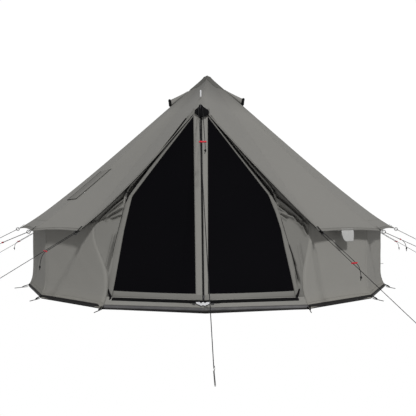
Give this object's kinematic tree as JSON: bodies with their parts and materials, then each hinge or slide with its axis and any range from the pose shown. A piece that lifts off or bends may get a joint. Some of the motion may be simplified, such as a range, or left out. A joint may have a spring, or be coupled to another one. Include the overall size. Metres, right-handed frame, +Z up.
{
  "type": "bell tent",
  "caption": "Canvas bell tent with a centre pole, A-frame mesh doorway, upright side walls, vented peak, stove flap, sheet floor, guy ropes and pegs.",
  "frame": {"origin": "centre of the groundsheet's underside, on the ground", "axes": "+Z up, the doorway faces -Y, +X to the right of someone looking at the doorway"},
  "size_m": [6.9098, 7.3284, 2.434],
  "materials": {
    "roof": "cotton canvas, matt, woven",
    "wall": "cotton canvas, matt, woven",
    "groundsheet": "PVC sheet, satin",
    "mesh": "insect mesh, black",
    "steel_tube": "galvanised steel tube",
    "steel_wire": "galvanised steel wire",
    "black_plastic": "moulded plastic",
    "rubber_foot": "rubber cap",
    "tensioner": "red anodised",
    "rope": "braided cord, black",
    "label": "woven label",
    "zip_metal": "black coated zip slider"
  },
  "bodies": {
    "tent": {"groundsheet": "groundsheet", "wall_right": "wall", "wall_left": "wall", "roof_front_right": "roof", "roof_front_left": "roof", "roof_side_right": "roof", "roof_rear_right": "roof", "roof_rear_left": "roof", "roof_side_left": "roof", "door_threshold": "wall", "door_surround_left": "wall", "door_surround_right": "wall", "canvas_door_left": "wall", "canvas_door_right": "wall", "centre_pole_foot": "rubber_foot", "centre_pole_lower": "steel_tube", "centre_pole_upper": "steel_tube", "door_pole_left": "steel_tube", "door_pole_right": "steel_tube", "door_pole_joiner": "black_plastic", "peak_cap": "roof", "vent_hoods": "roof", "eave_label": "label", "guy_rope_door": "rope", "guy_rope_01": "rope", "guy_rope_02": "rope", "guy_rope_03": "rope", "guy_rope_11": "rope", "guy_rope_12": "rope", "guy_rope_13": "rope", "guy_rope_04": "rope", "guy_rope_05": "rope", "guy_rope_06": "rope", "guy_rope_07": "rope", "guy_rope_08": "rope", "guy_rope_09": "rope", "guy_rope_10": "rope", "guy_rings": "steel_wire", "guy_pegs": "steel_wire", "base_pegs": "steel_wire"},
    "door_left": {"mesh_door_left": "mesh"},
    "door_right": {"mesh_door_right": "mesh"},
    "zip_slider_door": {"zip_slider_door": "zip_metal"},
    "zip_slider_left": {"zip_slider_left": "zip_metal"},
    "zip_slider_right": {"zip_slider_right": "zip_metal"},
    "stove_flap": {"stove_flap": "roof"},
    "tensioner_door": {"tensioner_door": "tensioner"},
    "tensioner_01": {"tensioner_01": "tensioner"},
    "tensioner_02": {"tensioner_02": "tensioner"},
    "tensioner_03": {"tensioner_03": "tensioner"},
    "tensioner_11": {"tensioner_11": "tensioner"},
    "tensioner_12": {"tensioner_12": "tensioner"},
    "tensioner_13": {"tensioner_13": "tensioner"},
    "tensioner_04": {"tensioner_04": "tensioner"},
    "tensioner_05": {"tensioner_05": "tensioner"},
    "tensioner_06": {"tensioner_06": "tensioner"},
    "tensioner_07": {"tensioner_07": "tensioner"},
    "tensioner_08": {"tensioner_08": "tensioner"},
    "tensioner_09": {"tensioner_09": "tensioner"},
    "tensioner_10": {"tensioner_10": "tensioner"}
  },
  "joints": [
    {"name": "mesh_door_left_fold", "type": "hinge", "parent": "tent", "child": "door_left", "pos_m": [-0.41206, -1.78492, 0.8775], "axis": [-0.4056, 0.0178, -0.9139], "range_deg": [0, 95]},
    {"name": "mesh_door_right_fold", "type": "hinge", "parent": "tent", "child": "door_right", "pos_m": [0.35444, -1.78727, 0.8775], "axis": [-0.4349, -0.0151, 0.9003], "range_deg": [0, 95]},
    {"name": "door_zip_slide", "type": "slide", "parent": "door_right", "child": "zip_slider_door", "axis": [-0.0146, 0.0873, 0.9961], "range_m": [0, 1.42]},
    {"name": "foot_zip_left_slide", "type": "slide", "parent": "tent", "child": "zip_slider_left", "axis": [-0.9737, 0.2276, 0], "range_m": [0, 0.66]},
    {"name": "foot_zip_right_slide", "type": "slide", "parent": "tent", "child": "zip_slider_right", "axis": [0.976, 0.2176, 0], "range_m": [0, 0.66]},
    {"name": "stove_flap_hinge", "type": "hinge", "parent": "tent", "child": "stove_flap", "pos_m": [-1.07756, -0.75372, 1.30277], "axis": [-0.5732, 0.8194, 0], "range_deg": [0, 150]},
    {"name": "tensioner_door_slide", "type": "slide", "parent": "tent", "child": "tensioner_door", "axis": [-0.0501, 0.716, 0.6963], "range_m": [0, 0.08]},
    {"name": "tensioner_01_slide", "type": "slide", "parent": "tent", "child": "tensioner_01", "axis": [-0.4198, 0.7493, 0.5122], "range_m": [0, 0.08]},
    {"name": "tensioner_02_slide", "type": "slide", "parent": "tent", "child": "tensioner_02", "axis": [-0.8696, 0.2629, 0.4179], "range_m": [0, 0.08]},
    {"name": "tensioner_03_slide", "type": "slide", "parent": "tent", "child": "tensioner_03", "axis": [-0.8643, 0.1991, 0.4618], "range_m": [0, 0.08]},
    {"name": "tensioner_11_slide", "type": "slide", "parent": "tent", "child": "tensioner_11", "axis": [0.8643, 0.1991, 0.4618], "range_m": [0, 0.08]},
    {"name": "tensioner_12_slide", "type": "slide", "parent": "tent", "child": "tensioner_12", "axis": [0.9112, 0.1294, 0.3912], "range_m": [0, 0.08]},
    {"name": "tensioner_13_slide", "type": "slide", "parent": "tent", "child": "tensioner_13", "axis": [0.672, 0.5647, 0.4791], "range_m": [0, 0.08]},
    {"name": "tensioner_04_slide", "type": "slide", "parent": "tent", "child": "tensioner_04", "axis": [-0.8647, -0.1974, 0.4618], "range_m": [0, 0.08]},
    {"name": "tensioner_05_slide", "type": "slide", "parent": "tent", "child": "tensioner_05", "axis": [-0.6935, -0.553, 0.4618], "range_m": [0, 0.08]},
    {"name": "tensioner_06_slide", "type": "slide", "parent": "tent", "child": "tensioner_06", "axis": [-0.3848, -0.7991, 0.4618], "range_m": [0, 0.08]},
    {"name": "tensioner_07_slide", "type": "slide", "parent": "tent", "child": "tensioner_07", "axis": [0, -0.887, 0.4618], "range_m": [0, 0.08]},
    {"name": "tensioner_08_slide", "type": "slide", "parent": "tent", "child": "tensioner_08", "axis": [0.3848, -0.7991, 0.4618], "range_m": [0, 0.08]},
    {"name": "tensioner_09_slide", "type": "slide", "parent": "tent", "child": "tensioner_09", "axis": [0.6935, -0.553, 0.4618], "range_m": [0, 0.08]},
    {"name": "tensioner_10_slide", "type": "slide", "parent": "tent", "child": "tensioner_10", "axis": [0.8647, -0.1974, 0.4618], "range_m": [0, 0.08]}
  ]
}
